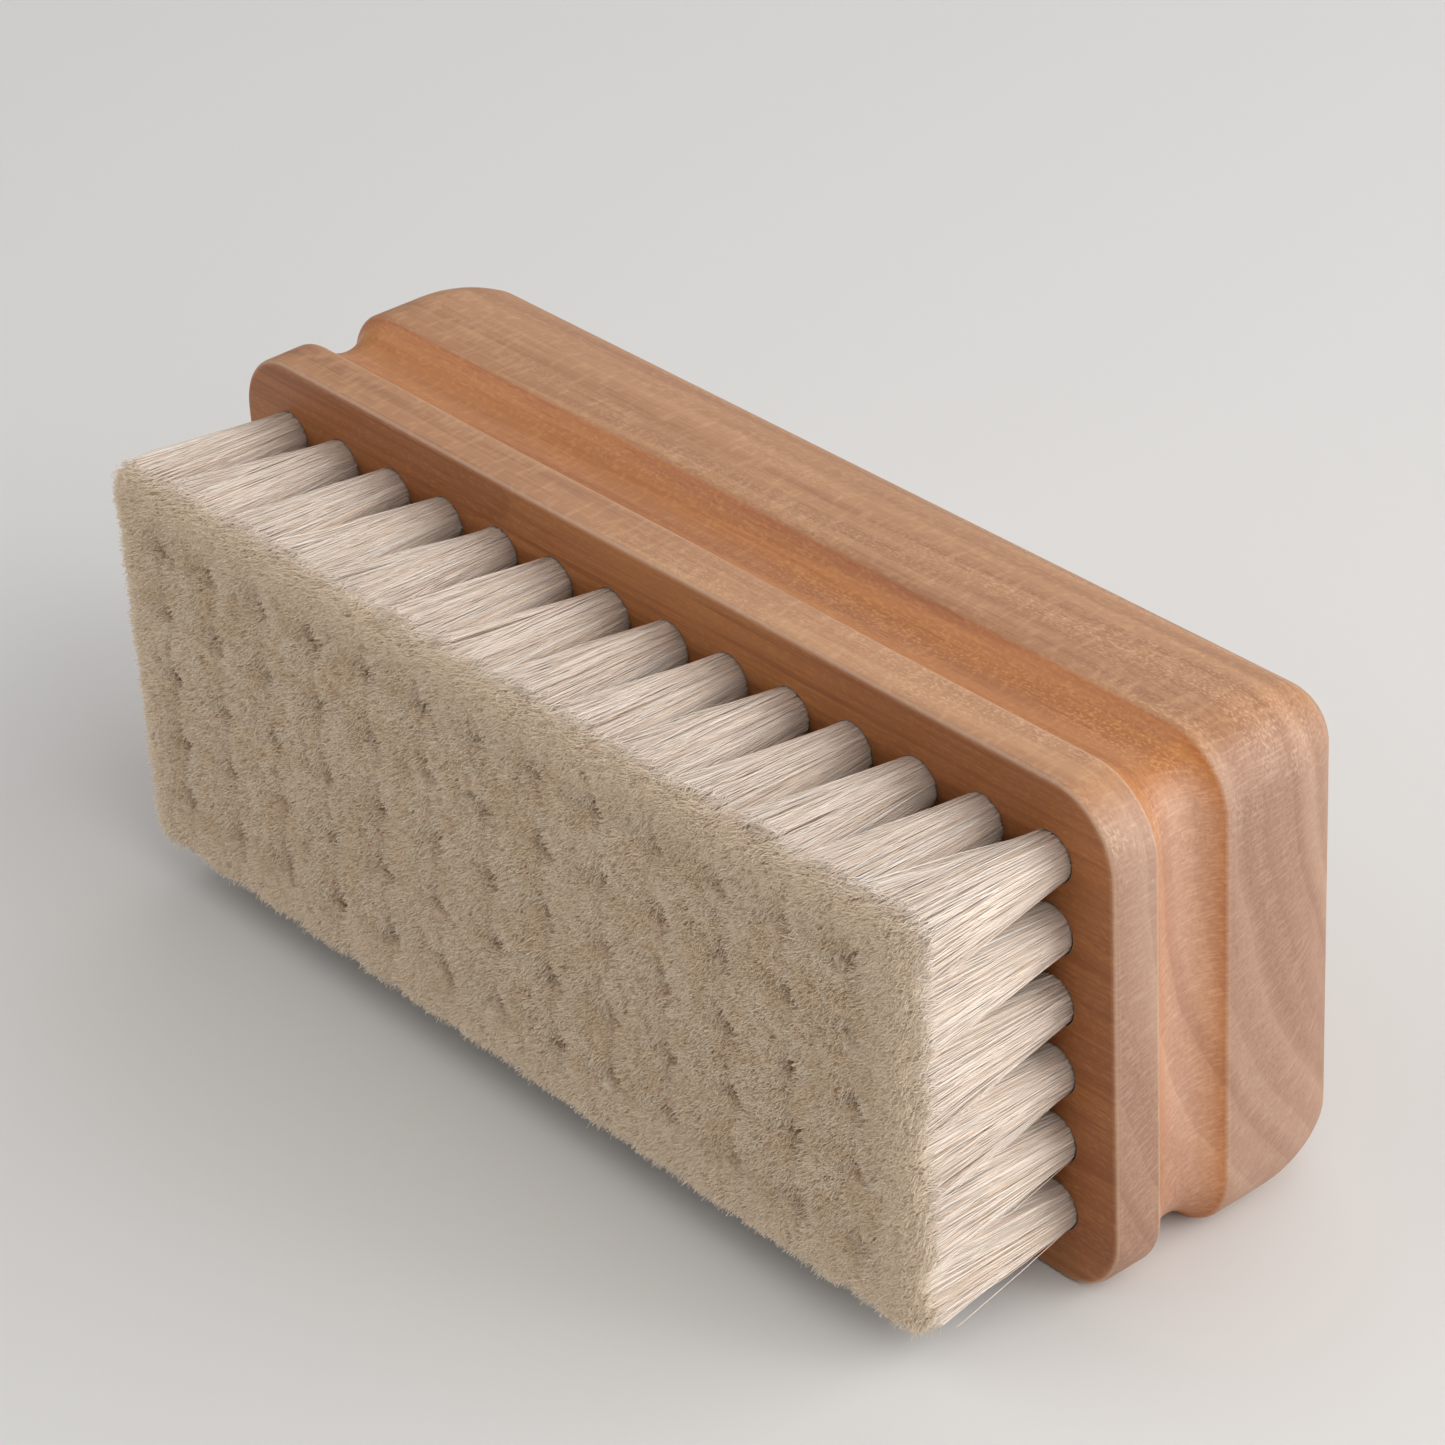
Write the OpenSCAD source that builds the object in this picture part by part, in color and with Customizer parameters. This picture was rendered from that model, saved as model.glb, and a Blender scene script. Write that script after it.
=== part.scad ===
// Clothes brush: a one-piece wooden block with a finger groove, filled with a grid of goat-hair tufts.
// The brush lies on one long side. X runs along the block, the hair points to -Y, +Z is up, and the
// origin is on the surface that the brush lies on, under the middle of its outline.

/* [Block] */
// Length of the wooden block
block_l = 135; // [132:1:180]
// Width of the bristle face, which is the height of the lying brush
block_w = 57; // [56:1:80]
// Depth of the wood from the bristle face to the flat back
block_h = 33.5; // [33:0.5:50]
// Radius of the four corners of the outline
corner_r = 8; // [7:0.5:10]
// Bevel around the bristle face
face_bevel = 0.6; // [0.3:0.1:1]
// Height of the lip between the bristle face and the finger groove
lip_h = 5.6; // [4:0.1:6]
// Width of the finger groove
groove_w = 9.4; // [8:0.1:11]
// Depth of the finger groove
groove_d = 2.5; // [1.5:0.1:3]
// Radius of the gentle arc that starts the rounding towards the back
shoulder_r = 18; // [16:1:20]
// Angle that the gentle arc turns before the tighter arc takes over
shoulder_angle = 30; // [20:1:32]

/* [Bristles] */
// Tufts along the block
tufts_long = 14; // [8:1:14]
// Tufts across the block
tufts_wide = 6; // [4:1:6]
// Spacing of the tufts along the block
pitch_long = 9.1; // [8:0.1:9.1]
// Spacing of the tufts across the block
pitch_wide = 8; // [7.6:0.1:8]
// Length of the hair outside the wood
bristle_l = 22; // [15:1:30]
// Diameter of the bored holes
bore_d = 5.5; // [5:0.1:6]
// Depth of the straight wall of the bored holes
bore_depth = 10; // [9.5:0.5:12]
// Gap between a tuft and the wall of its hole
tuft_gap = 0.15; // [0.05:0.05:0.2]
// Diameter of a tuft at its trimmed end
tip_d = 7.2; // [6:0.1:7.4]

/* [Anchors] */
// Length of the flat wire that stands across the grain at each end of an anchor
anchor_bite = 0.5; // [0.2:0.1:0.8]
// Width of the flat wire, measured along the hole
anchor_w = 1.6; // [1:0.1:2]
// Thickness of the flat wire
anchor_t = 0.4; // [0.3:0.1:0.5]
// Hair folded under each anchor
fold_t = 0.5; // [0.3:0.1:0.8]

/* [Hidden] */
$fn = 96;
cut = 1;                   // how far a cutting shape runs past the surface it cuts
drill_angle = 118;         // included angle of the drill's point
floor_gap = 0.1;           // between the folded hair and the end of the hole's straight wall
slot_gap = 0.1;            // between an anchor and the hair that is folded around it
crown_x = 0.5;             // from the corner's axis to the centre of the tighter arc
arc_step = 5;              // largest angle of one straight step of an arc
bristle_face_y = bristle_l - (bristle_l + block_h) / 2;
shoulder_x = corner_r - shoulder_r;
crown_r = (shoulder_x + shoulder_r * cos(shoulder_angle) - crown_x) / cos(shoulder_angle);
shoulder_h = shoulder_r * sin(shoulder_angle);
crown_h = crown_r * (1 - sin(shoulder_angle));
side_h = block_h - shoulder_h - crown_h;
groove_r = (pow(groove_w / 2, 2) + pow(groove_d, 2)) / (2 * groove_d);
straight_l = block_l - 2 * corner_r;
straight_w = block_w - 2 * corner_r;
tuft_d = bore_d - 2 * tuft_gap;
anchor_l = bore_d + 2 * anchor_bite;
tuft_depth = bore_depth - floor_gap;
anchor_depth = tuft_depth - fold_t - slot_gap - anchor_w / 2;

// Points of an arc in equal steps, without its first point
function arc_points(centre, radius, from, to) =
    let (steps = ceil((to - from) / arc_step))
    [for (i = [1:steps]) let (a = from + (to - from) * i / steps) centre + radius * [cos(a), sin(a)]];

// Name of the node that holds one row of tufts
function row_name(row) = str("tuft_row_", row < 10 ? "0" : "", row);

// Puts a shape drawn on the bristle face, with the wood above it, onto the lying brush
module lay_down() {
    translate([0, bristle_face_y, block_w / 2])
        rotate([-90, 0, 0])
            children();
}

// X of a row of tufts, counted from 1 at the -X end
function row_x(row) = (row - (tufts_long + 1) / 2) * pitch_long;

// Repeats a shape at the tufts of one row
module along_row(row) {
    for (i = [1:tufts_wide])
        translate([row_x(row), (i - (tufts_wide + 1) / 2) * pitch_wide, 0])
            children();
}

// Repeats a shape at every tuft
module at_every_tuft() {
    for (row = [1:tufts_long])
        along_row(row) children();
}

// Section of the block's rim: x is the distance out from the corner's axis, y the depth behind the face.
// Two arcs that run into each other without an edge round it towards the back.
module rim_section() {
    difference() {
        polygon(concat(
            [[0, 0], [corner_r - face_bevel, 0], [corner_r, face_bevel], [corner_r, side_h]],
            arc_points([shoulder_x, side_h], shoulder_r, 0, shoulder_angle),
            arc_points([crown_x, block_h - crown_r], crown_r, shoulder_angle, 90),
            [[0, block_h]]
        ));
        translate([corner_r + groove_r - groove_d, lip_h + groove_w / 2])
            circle(groove_r);
    }
}

// One straight side of the rim, of the given length, with its outer face towards +Y
module straight_rim(length) {
    rotate([90, 0, 90])
        linear_extrude(length, center = true)
            rim_section();
}

module block_solid() {
    translate([-straight_l / 2, -straight_w / 2, 0])
        cube([straight_l, straight_w, block_h]);
    for (turn = [0, 180])
        rotate(turn) {
            translate([0, straight_w / 2, 0]) straight_rim(straight_l);
            rotate(90) translate([0, straight_l / 2, 0]) straight_rim(straight_w);
        }
    for (side_x = [0, 1], side_y = [0, 1])
        mirror([side_x, 0, 0])
            mirror([0, side_y, 0])
                translate([straight_l / 2, straight_w / 2, 0])
                    rotate_extrude(angle = 90)
                        rim_section();
}

module bored_hole() {
    translate([0, 0, -cut]) cylinder(h = bore_depth + cut, d = bore_d);
    translate([0, 0, bore_depth])
        cylinder(h = bore_d / 2 / tan(drill_angle / 2), r1 = bore_d / 2, r2 = 0);
}

// Flat wire pressed across the hole, with its ends in the wood; gap widens it to make a slot
module anchor(gap = 0) {
    translate([0, 0, anchor_depth])
        cube([anchor_l, anchor_t + 2 * gap, anchor_w + 2 * gap], center = true);
}

// Wooden block with one blind hole for each tuft
module brush_block() {
    color("peru")
        lay_down()
            difference() {
                block_solid();
                at_every_tuft() bored_hole();
                at_every_tuft() anchor();
            }
}

// Short pieces of flat wire, one at the bottom of each hole, that hold the folded hair in the wood
module tuft_anchors() {
    color("silver")
        lay_down()
            at_every_tuft() anchor();
}

// Tuft of hair: a tight round plug in the hole, spreading towards the trimmed end
module tuft() {
    difference() {
        union() {
            cylinder(h = tuft_depth, d = tuft_d);
            mirror([0, 0, 1]) cylinder(h = bristle_l, d1 = tuft_d, d2 = tip_d);
        }
        anchor(slot_gap);
    }
}

// The tufts of one row, which runs across the block
module tuft_row(row) {
    color("antiquewhite")
        lay_down()
            along_row(row) tuft();
}

brush_block();
tuft_anchors();
for (row = [1:tufts_long])
    tuft_row(row);
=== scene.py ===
"""Looks of the clothes brush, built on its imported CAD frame.

The wooden block is one fine mesh with eased edges and bored holes. Each row of tufts is two pieces of
separate tapered hairs, with a dense bundle inside each tuft. The flat-wire anchors are the CAD's own, with
a metal material.
"""

import math

import bmesh
import bpy
import numpy as np
from mathutils import Matrix, Vector
from mathutils.geometry import delaunay_2d_cdt


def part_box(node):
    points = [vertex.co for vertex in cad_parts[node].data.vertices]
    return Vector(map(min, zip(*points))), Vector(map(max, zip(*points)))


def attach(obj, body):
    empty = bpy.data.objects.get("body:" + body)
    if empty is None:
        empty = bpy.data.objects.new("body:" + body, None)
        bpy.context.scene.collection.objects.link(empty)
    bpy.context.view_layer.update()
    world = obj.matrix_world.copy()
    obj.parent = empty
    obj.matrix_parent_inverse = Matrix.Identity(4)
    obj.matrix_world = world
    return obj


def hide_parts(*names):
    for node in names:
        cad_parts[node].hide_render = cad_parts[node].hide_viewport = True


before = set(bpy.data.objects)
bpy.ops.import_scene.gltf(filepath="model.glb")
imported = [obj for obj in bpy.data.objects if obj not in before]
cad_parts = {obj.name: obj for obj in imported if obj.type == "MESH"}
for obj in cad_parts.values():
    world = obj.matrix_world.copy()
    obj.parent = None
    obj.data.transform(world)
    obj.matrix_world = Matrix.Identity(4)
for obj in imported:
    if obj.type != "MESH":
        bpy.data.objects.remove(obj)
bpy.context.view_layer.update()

MM = 0.001
TURN = 2 * math.pi
rng = np.random.default_rng(11)

# ---------------------------------------------------------------- places, from the frame, in mm

block_lo, block_hi = (np.array(p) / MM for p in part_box("brush_block"))
ROWS = sorted(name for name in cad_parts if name.startswith("tuft_row_"))
row_boxes = [[np.array(p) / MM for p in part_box(name)] for name in ROWS]
FACE_Y = block_lo[1]
BACK_Y = block_hi[1]
TIP_Y = row_boxes[0][0][1]
HAIR_LENGTH = FACE_Y - TIP_Y
ROW_X = [(lo[0] + hi[0]) / 2 for lo, hi in row_boxes]
TUFTS_ACROSS = 6
CAD_TIP_D = row_boxes[0][1][0] - row_boxes[0][0][0]
PITCH_Z = (row_boxes[0][1][2] - row_boxes[0][0][2] - CAD_TIP_D) / (TUFTS_ACROSS - 1)
MIDDLE_Z = (block_lo[2] + block_hi[2]) / 2
TUFT_Z = [MIDDLE_Z + (i - (TUFTS_ACROSS - 1) / 2) * PITCH_Z for i in range(TUFTS_ACROSS)]

# ---------------------------------------------------------------- the block's driving sizes, in mm

CORNER_R = 8.0
FACE_EASE = 0.6
FACE_INSET = 0.15
BACK_INSET = 0.4
LIP_H = 5.6
GROOVE_W = 9.4
GROOVE_D = 2.5
GROOVE_EASE = 0.3
# the points of the groove's rounded edges: their inset and how far they are past the edge, into the groove
GROOVE_ROUNDING = ((0.05, -0.08), (0.16, 0.12))
SHOULDER_R = 18.0
SHOULDER_TURN = math.radians(30)
CROWN_X = 0.5
BORE_R = 2.75
BORE_DEPTH = 10.0
BORE_SIDES = 30
DRILL_POINT = 1.65
DRILL_POINT_R = 0.02
RIM_EASE = 0.1
RIM_STEP = 0.03
RIM_WIDTH = 0.08
# a hand-sanded block is never quite straight: the size and waves of its sway, and the depth where it stops
SANDING_SWAY = 0.05
SWAY_ALONG = 0.11
SWAY_DOWN = 0.2
SWAY_DEPTH = 30
# spacing of the points inside the flat faces
FACE_SPACING = 3.0
BACK_SPACING = 4.0

# ---------------------------------------------------------------- the hair's driving sizes, in mm

# hairs in each tuft, and their radius
OUTER_HAIRS = 2700
INNER_HAIRS = 2300
OUTER_HAIR_R = 0.047
INNER_HAIR_R = 0.055
THICKNESS_SPREAD = (0.8, 1.25)
TUFT_R = 2.65
TUFT_LIFT = 0.1

# how far a tuft's tips reach towards the brush's outer sides, and among its neighbours
OUTER_REACH_X = 3.6
OUTER_REACH_Z = 3.15
INNER_REACH_X = 5.2
INNER_REACH_Z = 4.8
REACH_SPREAD = 0.06
# powers of the superellipse that rounds a tuft's corners at the tips
LOOSE_CORNER = 4.2
FULL_CORNER = 6.0

# how unruly the hair is: locks of hair that lie together, single hairs, and strays (their share and lean)
LOCKS = 34
LOCK_LEAN = 0.25
HAIR_LEAN = 0.20
HAIR_BOW = 0.15
STRAYS = ((0.040, 0.9), (0.010, 1.8))
STRAY_BOW = 1.2
CURL = 0.44
PAST_SIDE = 0.3

# how uneven the trimmed end is, and how much shorter it is at a tuft's sides, between four tufts, and where
# the brush's outer edges are rounded by use
HAIR_TRIM = 0.20
LOCK_TRIM = 0.13
SIDE_WEAR = 0.3
LOOSE_WEAR = 0.6
EDGE_WEAR = 1.5

# where a hair's rings are, as shares of its length: in its hole, at its bow and just before its tip
ROOT_T = -0.04
BOW_T = 0.45
SHANK_T = 0.93
# the root is drawn in, the bow is a little short of the straight line, the curl starts the other way, and
# the hair gets thinner towards its tip
ROOT_PINCH = 0.98
BOW_SHARE = 0.43
CURL_BACK = 0.4
SHANK_TAPER = 0.9
TIP_TAPER = 0.7

# the bundle inside a tuft: its rings, its end and the drops of its edge are shares of the hair's length,
# and the others are shares of the tuft's radius or reach
BUNDLE_SIDES = 36
BUNDLE_RINGS = (-0.43, -0.2, 0.0, 0.08, 0.25, 0.45, 0.65, 0.8)
BUNDLE_END = 0.948
BUNDLE_END_SHARES = (1.0, 0.88, 0.7, 0.4, 0.15)
INNER_DROP = 0.006
CORNER_DROP = 0.06
OUTER_DROP = 0.065
BUNDLE_ROOT_SHARE = 0.93
BUNDLE_SHARE = 0.95
OUTER_BUNDLE_SHARE = 0.74
PLUG_SHARE = 0.98
RIDGE_DEPTH = 0.05
END_NOISE = (0.004, 0.05)


# ---------------------------------------------------------------- mesh helpers


def link_object(name, data):
    made = bpy.data.objects.new(name, data)
    bpy.context.scene.collection.objects.link(made)
    return made


def mesh_piece(name, verts, faces, material_index=None):
    """A smooth object from points in mm and faces."""
    mesh = bpy.data.meshes.new(name)
    mesh.from_pydata((np.asarray(verts, float) * MM).tolist(), [], faces)
    if material_index is not None:
        mesh.polygons.foreach_set("material_index", material_index)
    made = bmesh.new()
    made.from_mesh(mesh)
    bmesh.ops.recalc_face_normals(made, faces=made.faces)
    made.to_mesh(mesh)
    made.free()
    mesh.shade_smooth()
    return link_object(name, mesh)


def arc(centre, radius, start, end, steps):
    """Points of an arc in a plane, from angle start to angle end."""
    turn = np.linspace(start, end, steps + 1)
    return np.stack([centre[0] + radius * np.cos(turn), centre[1] + radius * np.sin(turn)], 1)


def unit_circle(sides):
    turn = np.linspace(0, TURN, sides, endpoint=False)
    return np.stack([np.cos(turn), np.sin(turn)], 1)


def band(first, second, count):
    """Quads between two closed rings of count points, whose first points are first and second."""
    here = np.arange(count)
    after = (here + 1) % count
    return np.stack([first + here, first + after, second + after, second + here], 1).tolist()


# ---------------------------------------------------------------- wooden block


def outline(spacing=1.5, corner_steps=14):
    """The block's outline in X and Z: points on the corners' centre lines, and outward directions."""
    half = np.array([block_hi[0] - CORNER_R, MIDDLE_Z - block_lo[2] - CORNER_R])
    corners = [np.array(signs) * half for signs in ((1, 1), (-1, 1), (-1, -1), (1, -1))]
    centres, directions = [], []
    for i, corner in enumerate(corners):
        turn = np.linspace(0, math.pi / 2, corner_steps + 1) + i * math.pi / 2
        centres += [corner] * len(turn)
        directions += np.stack([np.cos(turn), np.sin(turn)], 1).tolist()
        to = corners[(i + 1) % 4]
        steps = round(np.linalg.norm(to - corner) / spacing)
        centres += [corner + (to - corner) * k / steps for k in range(1, steps)]
        directions += [directions[-1]] * (steps - 1)
    return np.array(centres), np.array(directions)


def straight(start, end, points=5):
    """Points of a straight side of the block's section, between two depths."""
    return np.stack([np.zeros(points), np.linspace(start, end, points)], 1)


def rim_profile():
    """The block's section from the bristle face to the flat back.

    Each point has its offset from the outline, its depth behind the face, its wear and its share of groove.
    """
    groove_r = ((GROOVE_W / 2) ** 2 + GROOVE_D**2) / (2 * GROOVE_D)
    groove_turn = math.asin(GROOVE_W / 2 / groove_r)
    groove_centre = (groove_r - GROOVE_D, LIP_H + GROOVE_W / 2)
    groove_end = LIP_H + GROOVE_W
    depth = BACK_Y - FACE_Y
    cos_turn, sin_turn = math.cos(SHOULDER_TURN), math.sin(SHOULDER_TURN)
    crown_r = (CORNER_R - SHOULDER_R * (1 - cos_turn) - CROWN_X) / cos_turn
    side_h = depth - SHOULDER_R * sin_turn - crown_r * (1 - sin_turn)
    crown_centre = (CROWN_X - CORNER_R, depth - crown_r)

    face_edge = arc((-FACE_EASE, FACE_EASE), FACE_EASE, -math.pi / 2, 0, steps=5)
    lip = straight(FACE_EASE + 0.1, LIP_H - GROOVE_EASE)
    lip_edge = [[-inset, LIP_H + past] for inset, past in GROOVE_ROUNDING]
    groove = arc(groove_centre, groove_r, math.pi + groove_turn, math.pi - groove_turn, steps=22)
    grip_edge = [[-inset, groove_end - past] for inset, past in GROOVE_ROUNDING[::-1]]
    side = straight(groove_end + GROOVE_EASE, side_h)
    shoulder = arc((-SHOULDER_R, side_h), SHOULDER_R, 0, SHOULDER_TURN, steps=8)[1:]
    crown = arc(crown_centre, crown_r, SHOULDER_TURN, math.pi / 2, steps=12)[1:]

    # the points of each stretch, with its wear, which paints it paler, rubbed by use and partly a painted
    # highlight, and its share of groove
    stretches = [
        ([[-FACE_EASE - FACE_INSET, 0.0]], 0.0, 0.0),
        (face_edge[:2], 0.2, 0.0),
        (face_edge[2:4], 1.0, 0.0),
        (face_edge[4:], 0.2, 0.0),
        (lip, 0.0, 0.0),
        (lip_edge, 0.8, 0.0),
        (groove[1:-1], 0.0, 1.0),
        (grip_edge, 0.3, 0.5),
        (side, 0.0, 0.0),
        (shoulder, 0.0, 0.0),
        (crown, 0.0, 0.0),
        ([[crown_centre[0] - BACK_INSET, depth]], 0.0, 0.0),
    ]
    return [(*point, wear, hollow) for points, wear, hollow in stretches for point in points]


def flat_fill(points, edge_count, holes, spacing, clearance=0.6, merge=1e-7):
    """Triangles that fill an outline, whose points come first, with circular holes left out.

    Returns the inner points that are added, and the triangles.
    """
    lo, hi = points.min(0), points.max(0)
    columns = np.arange(lo[0] + spacing, hi[0], spacing)
    levels = np.arange(lo[1] + spacing, hi[1], spacing)
    grid = np.array([[x, z] for x in columns for z in levels])
    clear = np.ones(len(grid), bool)
    for centre, radius in holes:
        clear &= np.linalg.norm(grid - centre, axis=1) > radius + clearance
    gap = np.linalg.norm(grid[:, None] - points[None], axis=2).min(1)
    grid = grid[clear & (gap > clearance + 0.1)]
    every = [Vector(p) for p in np.concatenate([points, grid])]
    verts, _, faces, origin, _, _ = delaunay_2d_cdt(every, [], [list(range(edge_count))], 1, merge)
    back = [found[0] for found in origin]
    flat = np.array([tuple(v) for v in verts])
    kept = []
    for face in faces:
        middle = flat[list(face)].mean(0)
        if all(np.linalg.norm(middle - centre) > radius * 0.999 for centre, radius in holes):
            kept.append([back[i] for i in face])
    return grid, kept


class BlockMesh:
    """The block's points in mm with their wear and their share of the groove, and its faces."""

    def __init__(self):
        self.points = []
        self.faces = []
        self.wear = []
        self.groove = []
        self.count = 0

    def add(self, flat, depth, wear=0.0, groove=0.0):
        """Adds points at a depth behind the bristle face, from their X and Z about the block's middle.

        Returns their ids.
        """
        count = len(flat)
        self.points.append(np.stack([flat[:, 0], np.full(count, FACE_Y + depth), flat[:, 1] + MIDDLE_Z], 1))
        self.wear.append(np.full(count, wear))
        self.groove.append(np.full(count, groove))
        self.count += count
        return list(range(self.count - count, self.count))

    def join(self, rings):
        """Joins each ring of points to the next one."""
        for first, second in zip(rings, rings[1:]):
            self.faces += band(first[0], second[0], len(first))

    def close(self, depth, edge_ids, edge, spacing, rim_ids=(), rims=(), holes=()):
        """Fills a flat face of the block up to a ring of its rim, round its holes."""
        grid, triangles = flat_fill(np.concatenate([edge, *rims]), len(edge), holes, spacing)
        ids = [*edge_ids, *rim_ids, *self.add(grid, depth)]
        self.faces += [[ids[i] for i in triangle] for triangle in triangles]

    def piece(self, name):
        block = mesh_piece(name, np.concatenate(self.points), self.faces)
        for attribute_name, values in (("wear", self.wear), ("groove", self.groove)):
            attribute = block.data.attributes.new(attribute_name, "FLOAT", "POINT")
            attribute.data.foreach_set("value", np.concatenate(values).astype(np.float32))
        return block


def add_rim(mesh):
    """The block's outside, from the bristle face to the back.

    Returns the ids and the flat places of its first ring's points and of its last ring's.
    """
    centres, directions = outline()
    ids, rings = [], []
    for offset, depth, wear, hollow in rim_profile():
        waves = np.sin(centres[:, :1] * SWAY_ALONG + depth * SWAY_DOWN)
        sway = SANDING_SWAY * waves * (0 < depth < SWAY_DEPTH)
        ring = centres + (CORNER_R + offset + sway) * directions
        ids.append(mesh.add(ring, depth, wear, hollow))
        rings.append(ring)
    mesh.join(ids)
    return (ids[0], rings[0]), (ids[-1], rings[-1])


def add_bores(mesh):
    """The bored holes. Returns their rims' ids and flat places, and their centres and radii."""
    circle = unit_circle(BORE_SIDES)
    eased_r = BORE_R + RIM_EASE
    rim_r = eased_r + RIM_WIDTH
    # radius, depth and wear of each ring, from the eased rim to the drill's point
    stack = [
        (rim_r, 0, 0.0),
        (eased_r, 0, 0.6),
        (BORE_R + RIM_STEP, RIM_STEP, 0.6),
        (BORE_R, RIM_EASE, 0.0),
        (BORE_R, 2.0, 0.0),
        (BORE_R, BORE_DEPTH, 0.0),
        (DRILL_POINT_R, BORE_DEPTH + DRILL_POINT, 0.0),
    ]
    rim_ids, rims, holes = [], [], []
    for x in ROW_X:
        for z in TUFT_Z:
            centre = np.array([x, z - MIDDLE_Z])
            rings = [mesh.add(centre + radius * circle, depth, wear) for radius, depth, wear in stack]
            mesh.join(rings)
            mesh.faces.append(rings[-1][::-1])
            rim_ids += rings[0]
            rims.append(centre + rim_r * circle)
            holes.append((centre, rim_r))
    return rim_ids, rims, holes


def build_block():
    mesh = BlockMesh()
    face_edge, back_edge = add_rim(mesh)
    bores = add_bores(mesh)
    mesh.close(0, *face_edge, FACE_SPACING, *bores)
    mesh.close(BACK_Y - FACE_Y, *back_edge, BACK_SPACING)
    return mesh.piece("wood_block")


# ---------------------------------------------------------------- hair


def side_reaches(angle, sides):
    """The reaches to the two sides next to each angle, and if that corner is loose.

    sides are the reaches to -X, +X, -Z and +Z. Inner corners are loose, which leaves a dark spot between
    four tufts. Corners on the brush's edge are full.
    """
    rx = np.where(np.cos(angle) < 0, sides[0], sides[1])
    rz = np.where(np.sin(angle) < 0, sides[2], sides[3])
    return rx, rz, (rx != OUTER_REACH_X) & (rz != OUTER_REACH_Z)


def reach(angle, sides):
    """How far a tuft spreads at its tips in each direction."""
    rx, rz, loose = side_reaches(angle, sides)
    power = np.where(loose, LOOSE_CORNER, FULL_CORNER)
    return (np.abs(np.cos(angle) / rx) ** power + np.abs(np.sin(angle) / rz) ** power) ** (-1 / power)


def tuft_sides(row, i):
    """Inner sides of a tuft mingle with their neighbours, no two alike, and outer ones stand straight."""
    inner = rng.normal(1, REACH_SPREAD, 4) * (INNER_REACH_X, INNER_REACH_X, INNER_REACH_Z, INNER_REACH_Z)
    return (
        OUTER_REACH_X if row == 0 else inner[0],
        OUTER_REACH_X if row == len(ROWS) - 1 else inner[1],
        OUTER_REACH_Z if i == 0 else inner[2],
        OUTER_REACH_Z if i == TUFTS_ACROSS - 1 else inner[3],
    )


def outer_sides(sides):
    """The axis, direction and reach of each side that is on the brush's outside."""
    ways = ((0, -1), (0, 1), (1, -1), (1, 1))
    outside = (OUTER_REACH_X, OUTER_REACH_Z)
    return [(axis, way, side) for (axis, way), side in zip(ways, sides) if side in outside]


def leaning_hairs(root, tip, sides):
    """The tips leant over, together in each lock and each on its own, with each hair's bow and its lock."""
    n = len(root)
    locks = rng.uniform(-1, 1, (LOCKS, 2)) * TUFT_R
    lock = np.linalg.norm(root[:, None] - locks[None], axis=2).argmin(1)
    tip = tip + rng.normal(0, LOCK_LEAN, (LOCKS, 2))[lock] + rng.normal(0, HAIR_LEAN, (n, 2))
    bow = rng.normal(0, HAIR_BOW, (n, 2))
    for portion, lean in STRAYS:
        stray = rng.uniform(0, 1, n) < portion
        tip[stray] += rng.normal(0, lean, (stray.sum(), 2))
        bow[stray] *= STRAY_BOW * lean
    low, high = np.array(sides[::2]), np.array(sides[1::2])
    return np.clip(tip, -low - PAST_SIDE, high + PAST_SIDE), bow, lock


def trimmed_length(angle, share, tip, lock, sides):
    """The length of each hair, trimmed a little unevenly and rounded at the brush's outer edges by use.

    The high powers keep the wear close to the edges.
    """
    loose = side_reaches(angle, sides)[2]
    spread = np.minimum(np.linalg.norm(tip, axis=1) / INNER_REACH_X, 1.2) * loose
    length = HAIR_LENGTH - np.abs(rng.normal(0, HAIR_TRIM, len(tip)))
    length -= np.abs(rng.normal(0, LOCK_TRIM, LOCKS))[lock]
    length -= SIDE_WEAR * share**8 + LOOSE_WEAR * spread**5
    for axis, way, side in outer_sides(sides):
        length -= EDGE_WEAR * np.clip(way * tip[:, axis] / side, 0, 1.1) ** 4
    return length


def tuft_hairs(centre, sides):
    """Points of one tuft's hairs: three sides on each ring, from just inside the hole to the tip."""
    outer = bool(outer_sides(sides))
    n = OUTER_HAIRS if outer else INNER_HAIRS
    angle = rng.uniform(0, TURN, n)
    share = np.sqrt(rng.uniform(0, 1, n))
    out = np.stack([np.cos(angle), np.sin(angle)], 1)
    root = out * (TUFT_R * share)[:, None] + (0, TUFT_LIFT)
    tip = out * (share * reach(angle, sides))[:, None]
    tip, bow, lock = leaning_hairs(root, tip, sides)
    length = trimmed_length(angle, share, tip, lock, sides)
    curl = rng.normal(0, CURL, (n, 2))

    # share of the hair's length, place across the brush and thickness of each ring
    rings = [(ROOT_T, root * ROOT_PINCH, 1.0)]
    if outer:
        rings.append((BOW_T, root + (tip - root) * BOW_SHARE + bow, 1.0))
    rings.append((SHANK_T, root + (tip - root) * SHANK_T - curl * CURL_BACK, SHANK_TAPER))
    rings.append((1.0, tip + curl, TIP_TAPER))

    roll = rng.uniform(0, TURN, n)
    thick = (OUTER_HAIR_R if outer else INNER_HAIR_R) * rng.uniform(*THICKNESS_SPREAD, n)
    points = np.empty((n, len(rings), 3, 3))
    for k, (t, across, taper) in enumerate(rings):
        for side in range(3):
            turn = roll + side * TURN / 3
            points[:, k, side, 0] = centre[0] + across[:, 0] + thick * taper * np.cos(turn)
            points[:, k, side, 1] = FACE_Y - length * t
            points[:, k, side, 2] = centre[1] + across[:, 1] + thick * taper * np.sin(turn)
    return points


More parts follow.
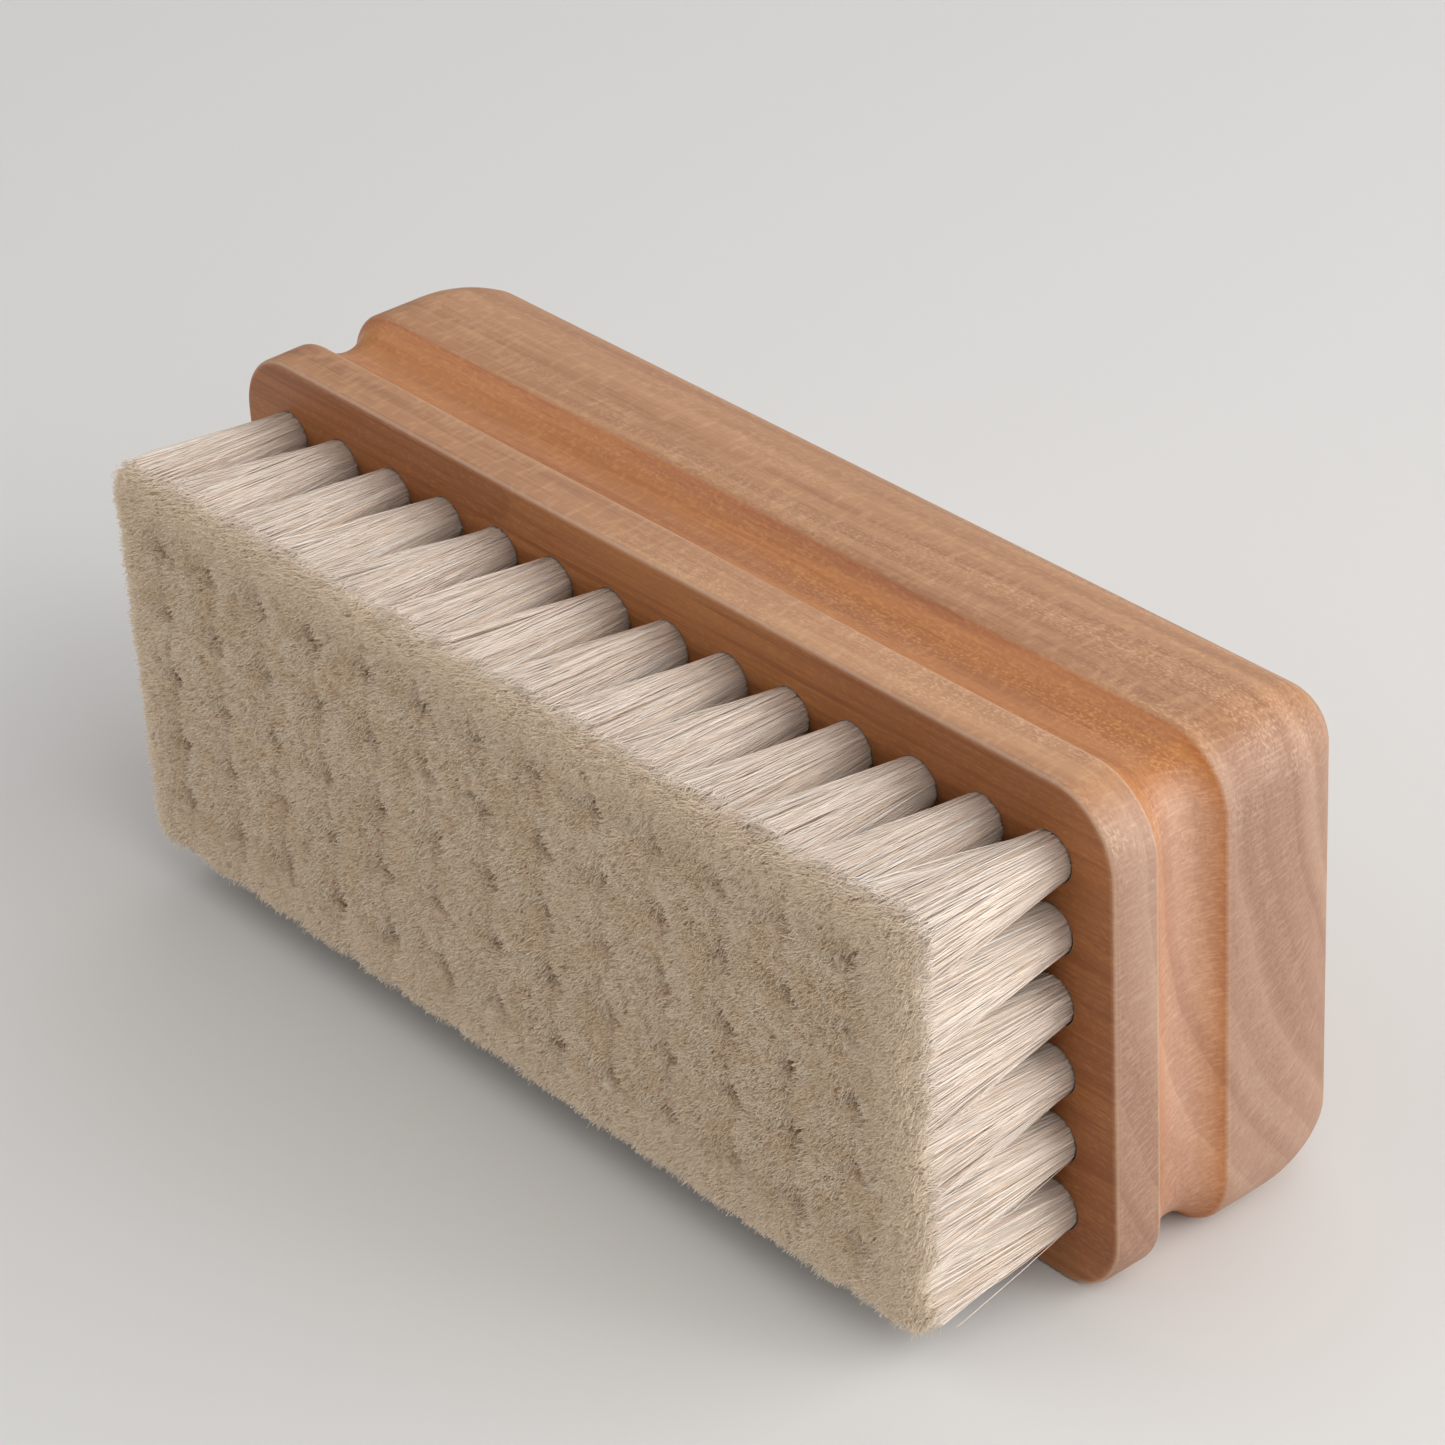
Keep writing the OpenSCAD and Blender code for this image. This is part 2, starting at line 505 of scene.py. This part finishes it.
def hair_faces(count, rings, first):
    """Side quads and end triangles of count three-sided hairs."""
    start = first + np.arange(count)[:, None, None] * rings * 3
    k = np.arange(rings - 1)[None, :, None] * 3
    side = np.arange(3)[None, None, :]
    here, after = start + k + side, start + k + (side + 1) % 3
    quads = np.stack([here, here + 3, after + 3, after], -1)
    start = start[:, 0, 0]
    last = start + (rings - 1) * 3
    ends = [np.stack([start, start + 1, start + 2], 1), np.stack([last, last + 2, last + 1], 1)]
    return quads.reshape(-1, 4).tolist() + np.concatenate(ends).tolist()


def bundle_spread(angle, out, sides):
    """How far the bundle reaches at its end, and how much lower its end is at its edge than in its middle.

    It keeps well inside the hairs on the brush's outer sides, and meets its neighbours on the inner ones.
    """
    spread = out * (BUNDLE_SHARE * reach(angle, sides))[:, None]
    drop = INNER_DROP + CORNER_DROP * np.abs(np.sin(2 * angle)) ** 3
    for axis, way, side in outer_sides(sides):
        beyond = way * spread[:, axis] > OUTER_BUNDLE_SHARE * side
        spread[beyond, axis] = way * OUTER_BUNDLE_SHARE * side
        drop[beyond] = OUTER_DROP
    return spread, drop


def tuft_bundle(centre, sides, first):
    """The dense inside of a tuft: a ridged body from the bottom of its hole to just under the tips."""
    around = BUNDLE_SIDES
    angle = np.linspace(0, TURN, around, endpoint=False)
    out = unit_circle(around)
    ridges = 1 - RIDGE_DEPTH * np.abs(rng.normal(0, 1, around))
    spread, drop = bundle_spread(angle, out, sides)
    body = [(t, 1.0) for t in BUNDLE_RINGS]
    end = [(BUNDLE_END, share) for share in BUNDLE_END_SHARES]
    verts = []
    for t, share in body + end:
        grown = max(t, 0.0)
        across = TUFT_R * BUNDLE_ROOT_SHARE * (1 - grown) * out + grown * spread
        across *= (ridges if t > 0 else np.full(around, PLUG_SHARE))[:, None]
        ragged = rng.normal(0, END_NOISE, (around, 2)) * (t == BUNDLE_END)
        across = centre + across * (share * (1 + ragged[:, 1:])) + (0, TUFT_LIFT * (1 - grown))
        height = t - drop * share**6 * (t == BUNDLE_END) + ragged[:, 0]
        verts.append(np.stack([across[:, 0], FACE_Y - height * HAIR_LENGTH, across[:, 1]], 1))
    faces = []
    for k in range(len(verts) - 1):
        faces += [quad[::-1] for quad in band(first + k * around, first + (k + 1) * around, around)]
    last = first + (len(verts) - 1) * around
    faces.append([first + i for i in range(around)])
    faces.append([last + i for i in range(around)][::-1])
    return np.concatenate(verts), faces


def build_hair(name, row, tufts):
    """The hair of some tufts of one row as one piece: the hairs in slot 0 and the bundles in slot 1."""
    verts, faces, slots, start = [], [], [], 0
    for i in tufts:
        centre = np.array([ROW_X[row], TUFT_Z[i]])
        sides = tuft_sides(row, i)
        hairs = tuft_hairs(centre, sides)
        made = hair_faces(len(hairs), hairs.shape[1], start)
        verts.append(hairs.reshape(-1, 3))
        faces += made
        slots += [0] * len(made)
        start += len(verts[-1])
        body, made = tuft_bundle(centre, sides, start)
        verts.append(body)
        faces += made
        slots += [1] * len(made)
        start += len(body)
    return mesh_piece(name, np.concatenate(verts), faces, slots)


# ---------------------------------------------------------------- material helper


class Material:
    """A node material with one Principled shader, whose plain sockets take the values given."""

    def __init__(self, name, plain=None):
        self.material = bpy.data.materials.new(name)
        self.material.use_nodes = True
        self.tree = self.material.node_tree
        self.shader = self.tree.nodes["Principled BSDF"]
        for socket, value in (plain or {}).items():
            self.shader.inputs[socket].default_value = value

    def add(self, kind, *inputs, out=0, **settings):
        """A new node's output. Its inputs are values or other nodes' outputs. None leaves one as it is."""
        node = self.tree.nodes.new("ShaderNode" + kind)
        for setting, value in settings.items():
            setattr(node, setting, value)
        for socket, value in zip(node.inputs, inputs):
            if isinstance(value, bpy.types.NodeSocket):
                self.tree.links.new(value, socket)
            elif value is not None:
                socket.default_value = value
        return node.outputs[out]

    def math(self, operation, a, b=0.0):
        return self.add("Math", a, b, operation=operation)

    def times(self, a, b):
        return self.math("MULTIPLY", a, b)

    def plus(self, a, b):
        return self.math("ADD", a, b)

    def minus(self, a, b):
        return self.math("SUBTRACT", a, b)

    def scaled(self, vector, scale):
        return self.add("VectorMath", vector, scale, operation="MULTIPLY")

    def stretched(self, values, features):
        """A place for noise that has a number of features for each unit of each value."""
        return self.add("CombineXYZ", *(self.times(value, count) for value, count in zip(values, features)))

    def parts(self, vector):
        """The x, y and z of a vector."""
        return tuple(self.add("SeparateXYZ", vector).node.outputs)

    def place(self):
        """The place on the brush, in mm."""
        return self.scaled(self.add("TexCoord", out=3), (1000, 1000, 1000))

    def noise(self, vector, detail=2.0, roughness=0.5):
        """Soft noise from 0 to 1, one feature to each unit of the vector."""
        return self.add("TexNoise", vector, None, 1.0, detail, roughness)

    def remap(self, value, low, high, to_low=0.0, to_high=1.0):
        return self.add("MapRange", value, low, high, to_low, to_high)

    def ramp(self, value, *stops):
        """A colour for each value, from (place, colour) stops."""
        output = self.add("ValToRGB", value)
        elements = output.node.color_ramp.elements
        while len(elements) < len(stops):
            elements.new(0.5)
        for element, (place, colour) in zip(elements, stops):
            element.position = place
            element.color = (*colour, 1)
        return output

    def mix(self, share, a, b, blend="MIX"):
        return self.add("MixRGB", share, a, b, blend_type=blend)

    def tinted(self, share, colour, tint):
        """A colour that goes, by a share, towards itself multiplied by a tint."""
        return self.mix(share, colour, self.mix(1.0, colour, (*tint, 1), "MULTIPLY"))

    def link(self, output, socket):
        self.tree.links.new(output, self.shader.inputs[socket])

    def bump(self, height, distance, strength=1.0):
        self.link(self.add("Bump", strength, distance, None, height), "Normal")


# ---------------------------------------------------------------- wood material

# the pith's place, and its slope for each mm along the block
PITH_Y = FACE_Y + 85.0
PITH_Z = 55.0
SLOPE_Y = 0.04
SLOPE_Z = -0.03
RING_WIDTH = 4.0
MOST_SWAY = 2.2

PALE, MIDDLE, DEEP = (0.54, 0.288, 0.145), (0.44, 0.214, 0.100), (0.32, 0.135, 0.057)
RING_LINE, RAY = (0.30, 0.12, 0.05, 1), (0.74, 0.45, 0.25, 1)
# the pores' colour, and the lighter colour of eased edges: rubbed paler by use, and partly a painted
# highlight
PORE, RUBBED_AND_HIGHLIT = (0.24, 0.09, 0.038, 1), (0.66, 0.45, 0.32, 1)

# features for each mm along X, Y and Z
RING_SWAY = (0.012, 0.05, 0.05)
FIBRES = (0.06, 2.2, 2.2)
PORES = (0.30, 7.0, 7.0)
FLECK_PATCHES = (0.03, 0.22, 0.22)
GRAIN_LINES = (0.02, 1.3, 1.3)

# features for each mm along the grain, each mm of radius and each radian round the pith
FLECKS = (2.2, 4.2, 150.0)
THREADS = (1.2, 0.4, 300.0)

# tints that paint light and shade by which way a face looks: painted shade on the bristle face, a painted
# sheen on the ends, painted shade in the groove along the brush, painted light on its far wall, and painted
# light in the groove at the ends
FACE_SHADE = (0.92, 0.68, 0.40)
END_SHEEN = (0.80, 0.93, 1.30)
GROOVE_SHADE = (0.97, 0.78, 0.55)
FAR_WALL_LIGHT = (1.20, 1.20, 1.08)
GROOVE_END_LIGHT = (1.26, 1.20, 1.16)


def grain_place(m, place):
    """Place in mm along the grain, height over the pith, and swaying radius and angle round it."""
    x, y, z = m.parts(place)
    across = m.minus(m.minus(y, PITH_Y), m.times(x, SLOPE_Y))
    up = m.minus(m.minus(z, PITH_Z), m.times(x, SLOPE_Z))
    radius = m.math("SQRT", m.plus(m.times(across, across), m.times(up, up)))
    sway = m.remap(m.noise(m.scaled(place, RING_SWAY)), 0, 1, -MOST_SWAY, MOST_SWAY)
    return x, up, m.plus(radius, sway), m.math("ARCTAN2", up, across)


def growth_rings(m, x, radius):
    """How dark the rings' lines are, and the slow change of tone from year to year."""
    year = m.math("FRACT", m.math("DIVIDE", radius, RING_WIDTH))
    line = m.ramp(year, (0.0, (0.30,) * 3), (0.10, (0.0,) * 3), (0.55, (0.15,) * 3), (0.93, (1.0,) * 3))
    bold = m.remap(m.noise(m.stretched((radius, x), (0.13, 0.01))), 0.35, 0.65, 0.15, 0.65)
    tone = m.noise(m.stretched((radius, x), (0.22, 0.005)))
    return m.times(line, bold), tone


def ray_flecks(m, place, x, up, radius, angle, ahead):
    """Short flecks where the rays lie in the surface: near the pith's height, not on the bristle face."""
    fleck = m.remap(m.noise(m.stretched((x, radius, angle), FLECKS), 1.0, 0.4), 0.50, 0.68)
    patch = m.remap(m.noise(m.scaled(place, FLECK_PATCHES), 1.0), 0.40, 0.62, 0.1, 1.0)
    for share in (patch, m.remap(up, -9, 0), m.remap(x, -40, 50, 0.35, 1.0), m.remap(ahead, -0.9, -0.4)):
        fleck = m.times(fleck, share)
    return fleck


def ray_threads(m, x, radius, angle):
    """Thin radial lines of the rays elsewhere."""
    return m.remap(m.noise(m.stretched((x, radius, angle), THREADS), 1.0), 0.50, 0.70)


def painted_light_and_wear(m, colour, sideways, ahead):
    """Painted light and shade by which way a face looks, and a lighter colour on eased edges, which is
    rubbed paler by use and partly a painted highlight.
    """
    # painted shade: the bristle face, which looks away from the lamps, darker and deeper in colour
    colour = m.tinted(m.remap(ahead, -0.6, -1.0), colour, FACE_SHADE)
    # painted sheen: the block's ends paler and cooler, as if they reflected the bright floor
    end = m.remap(m.math("ABSOLUTE", sideways), 0.4, 1.0)
    colour = m.tinted(end, colour, END_SHEEN)
    groove = m.add("Attribute", attribute_name="groove", out=2)
    along = m.times(groove, m.minus(1.0, end))
    # painted shade in the hollow of the groove along the brush, darker and more orange
    colour = m.tinted(along, colour, GROOVE_SHADE)
    # painted light on the groove's far wall, which looks towards the bristle face, lifting its shade
    colour = m.tinted(m.times(along, m.remap(ahead, -0.1, -0.6)), colour, FAR_WALL_LIGHT)
    # painted light in the groove at the block's ends, where the lamps on the right light the hollow
    colour = m.tinted(m.times(groove, end), colour, GROOVE_END_LIGHT)
    # eased edges lighter: rubbed paler by use, and partly a painted highlight where they catch the light
    wear = m.add("Attribute", attribute_name="wear", out=2)
    return m.mix(m.times(wear, 0.4), colour, RUBBED_AND_HIGHLIT)


def oiled_wood():
    """Close-grained fruit wood: soft growth rings, fibres along X, fine pores and rays."""
    m = Material("oiled_wood", {"Specular IOR Level": 0.6})
    place = m.place()
    x, up, radius, angle = grain_place(m, place)
    sideways, ahead, _ = m.parts(m.add("TexCoord", out=1))

    line, tone = growth_rings(m, x, radius)
    fibre = m.noise(m.scaled(place, FIBRES), 3.0, 0.6)
    pore = m.remap(m.noise(m.scaled(place, PORES), 1.0), 0.60, 0.74)
    fleck = ray_flecks(m, place, x, up, radius, angle, ahead)

    shade = m.plus(m.times(tone, 0.6), m.times(fibre, 0.4))
    colour = m.ramp(shade, (0.34, DEEP), (0.50, MIDDLE), (0.68, PALE))
    colour = m.mix(line, colour, RING_LINE)
    colour = m.mix(m.times(ray_threads(m, x, radius, angle), 0.22), colour, RAY)
    colour = m.mix(m.times(fleck, 0.5), colour, RAY)
    colour = m.mix(m.times(pore, 0.30), colour, PORE)

    # fine dark grain lines on the bristle face
    grain = m.remap(m.noise(m.scaled(place, GRAIN_LINES), 3.0, 0.6), 0.52, 0.68)
    colour = m.mix(m.times(grain, m.remap(ahead, -0.6, -1.0, 0.0, 0.7)), colour, RING_LINE)

    m.link(painted_light_and_wear(m, colour, sideways, ahead), "Base Color")
    m.link(m.minus(m.remap(fibre, 0.2, 0.8, 0.42, 0.54), m.times(fleck, 0.08)), "Roughness")
    height = m.plus(m.times(fibre, 0.6), m.times(fleck, 0.3))
    m.bump(m.minus(height, m.times(pore, 0.5)), 0.00006, 0.6)
    return m.material


# ---------------------------------------------------------------- hair materials

TIP_HAIR = (1.0, 0.965, 0.85)
# the tint of the painted shade deep between the tufts, and of soft brown patches at the tips
SHADE_AND_BROWN_HAIR = (0.82, 0.68, 0.48)
# painted light: the lighter, golden colour of the outer tufts' tips, where they catch light round the
# brush's edges
OUTER_TIP_LIGHT = (0.99, 0.83, 0.64, 1)

# distances behind the tips, in mm, between which the golden tips and the painted shade between the tufts
# come in
GOLDEN = (3.5, 0.5)
SHADE_DEPTHS = (1.1, 2.2)
# distance over which the middle's colour fades into the outer tufts, in mm
OUTER_FADE = 2.5

# features for each mm along X, Y and Z
BROWN_PATCHES = (0.28, 0.28, 0.28)
STREAKS = (5.0, 0.12, 5.0)
SPECKLES = (3.5, 3.5, 3.5)


def behind_tips(m, place, start, end):
    """0 to 1 between two distances behind the tips."""
    return m.remap(m.parts(place)[1], TIP_Y + start, TIP_Y + end)


def middle_share(m, place):
    """1 in the middle of the hair and 0 in its outer tufts."""
    x, _, z = m.parts(place)
    shares = []
    for from_middle, last in ((x, ROW_X[-1]), (m.minus(z, MIDDLE_Z), TUFT_Z[-1] - MIDDLE_Z)):
        shares.append(m.remap(m.math("ABSOLUTE", from_middle), last, last - OUTER_FADE))
    return m.times(*shares)


def shaded_and_browned(m, place, colour):
    """A hair colour with painted shade between the tufts below the tips, and browner in soft patches of the
    tips.
    """
    patchy = m.remap(m.noise(m.scaled(place, BROWN_PATCHES)), 0.46, 0.62, 0.0, 0.3)
    share = m.times(m.math("MAXIMUM", behind_tips(m, place, *SHADE_DEPTHS), patchy), middle_share(m, place))
    return m.tinted(share, colour, SHADE_AND_BROWN_HAIR)


def goat_hair():
    """Pale goat hair, a little different in each hair, and golden at the tips, with painted light on the
    tips of the outer tufts.
    """
    m = Material("goat_hair", {"Roughness": 0.45, "Specular IOR Level": 0.45})
    place = m.place()
    colour = m.ramp(
        m.add("NewGeometry", out=8),
        (0.0, (0.62, 0.46, 0.33)),
        (0.04, (0.84, 0.69, 0.56)),
        (0.35, (0.93, 0.79, 0.68)),
        (0.80, (0.96, 0.86, 0.77)),
        (1.0, (0.98, 0.92, 0.86)),
    )
    near_tip = behind_tips(m, place, *GOLDEN)
    colour = m.tinted(near_tip, colour, TIP_HAIR)
    # painted light on the tips of the outer tufts
    edge = m.times(near_tip, m.remap(middle_share(m, place), 1.0, 0.0, 0.0, 0.8))
    m.link(shaded_and_browned(m, place, m.mix(edge, colour, OUTER_TIP_LIGHT)), "Base Color")
    return m.material


def hair_bundle():
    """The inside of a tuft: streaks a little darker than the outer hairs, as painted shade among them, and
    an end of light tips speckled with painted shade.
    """
    m = Material("hair_bundle", {"Roughness": 0.7})
    place = m.place()
    streak = m.noise(m.scaled(place, STREAKS))
    # painted shade: the bundle's sides darker than the outer hairs, as hair shaded by other hairs
    side = m.ramp(streak, (0.3, (0.64, 0.50, 0.38)), (0.7, (0.88, 0.75, 0.63)))
    speckle = m.noise(m.scaled(place, SPECKLES), 3.0, 0.8)
    # light hair tips, with painted shade in the gaps between them
    end = m.ramp(speckle, (0.38, (0.55, 0.43, 0.28)), (0.58, (0.98, 0.90, 0.74)))
    m.link(shaded_and_browned(m, place, m.mix(behind_tips(m, place, *GOLDEN), side, end)), "Base Color")
    m.bump(streak, 0.0002, 0.8)
    return m.material


def flat_wire():
    """Bright drawn wire with faint marks along it."""
    m = Material("flat_wire", {"Base Color": (0.62, 0.62, 0.64, 1), "Metallic": 1.0})
    marks = m.noise(m.scaled(m.place(), (0.3, 6.0, 6.0)))
    m.link(m.remap(marks, 0.2, 0.8, 0.22, 0.42), "Roughness")
    m.bump(marks, 0.00002, 0.5)
    return m.material


def paint(piece, *materials):
    piece.data.materials.clear()
    for material in materials:
        piece.data.materials.append(material)


# ---------------------------------------------------------------- pieces

block = build_block()
paint(block, oiled_wood())
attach(block, "root")
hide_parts("brush_block")

hair, bundle = goat_hair(), hair_bundle()
half_row = TUFTS_ACROSS // 2
for row, cad_name in enumerate(ROWS):
    for part, tufts in (("low", range(half_row)), ("high", range(half_row, TUFTS_ACROSS))):
        piece = build_hair(f"{cad_name.replace('tuft', 'hair')}_{part}", row, tufts)
        paint(piece, hair, bundle)
        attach(piece, "root")
        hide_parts(cad_name)

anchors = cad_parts["tuft_anchors"]
paint(anchors, flat_wire())


# ---------------------------------------------------------------- floor, light and camera, in m

FLOOR_HALF = 6.0
FLOOR_COLOUR = (0.70, 0.693, 0.684, 1)
SKY_COLOUR = (0.98, 0.98, 1.0, 1)
SKY_STRENGTH = 0.20
LIGHT_COLOUR = (1.0, 0.99, 0.97)

# name, angle round from +X, height angle, distance, size and power
LIGHTS = (
    ("window", 0, 30, 0.8, 0.7, 3.2),
    ("high_window", 0, 55, 0.9, 0.8, 1.9),
    ("back_window", 45, 20, 0.9, 0.8, 5.6),
    ("left_wall", 120, 40, 1.0, 1.0, 2.5),
    ("front_wall", -135, 35, 1.0, 1.0, 3.8),
)

AZIMUTH, ELEVATION, ROLL = (math.radians(angle) for angle in (51.255, 31.406, -3.486))
DISTANCE = 0.4798
# the point on the bristle face that the camera looks at
TARGET = Vector((12.15, FACE_Y, MIDDLE_Z + 14.25)) * MM
LENS = 120.47
SENSOR = 36


def build_floor():
    mesh = bpy.data.meshes.new("floor")
    corners = [(x * FLOOR_HALF, y * FLOOR_HALF, 0) for x, y in ((-1, -1), (1, -1), (1, 1), (-1, 1))]
    mesh.from_pydata(corners, [], [(0, 1, 2, 3)])
    floor = link_object("floor", mesh)
    paint(floor, Material("pale_paper", {"Base Color": FLOOR_COLOUR, "Roughness": 0.9}).material)


def build_world():
    world = bpy.data.worlds.new("studio")
    world.use_nodes = True
    background = world.node_tree.nodes["Background"]
    background.inputs["Color"].default_value = SKY_COLOUR
    background.inputs["Strength"].default_value = SKY_STRENGTH
    bpy.context.scene.world = world


def area_light(name, turn, height, distance, size, power):
    """A square soft light that faces the brush."""
    data = bpy.data.lights.new(name, "AREA")
    data.size = size
    data.energy = power
    data.color = LIGHT_COLOUR
    light = link_object(name, data)
    turn, height = math.radians(turn), math.radians(height)
    level = math.cos(height)
    towards = Vector((level * math.cos(turn), level * math.sin(turn), math.sin(height)))
    light.location = towards * distance
    light.rotation_euler = towards.to_track_quat("Z", "Y").to_euler()


def build_camera():
    data = bpy.data.cameras.new("camera")
    data.sensor_width = SENSOR
    data.lens = LENS
    data.clip_start = 0.01
    data.clip_end = 50
    level = Vector((math.cos(AZIMUTH), math.sin(AZIMUTH), 0))
    ahead = Vector((-math.sin(AZIMUTH), math.cos(AZIMUTH), 0))
    back = -ahead * math.cos(ELEVATION) + Vector((0, 0, math.sin(ELEVATION)))
    right = Matrix.Rotation(ROLL, 3, back) @ level
    turned = Matrix((right, back.cross(right), back)).transposed().to_4x4()
    camera = link_object("camera", data)
    camera.matrix_world = Matrix.Translation(TARGET + back * DISTANCE) @ turned
    bpy.context.scene.camera = camera


build_floor()
build_world()
for light in LIGHTS:
    area_light(*light)
build_camera()
bpy.context.scene.view_settings.view_transform = "Standard"
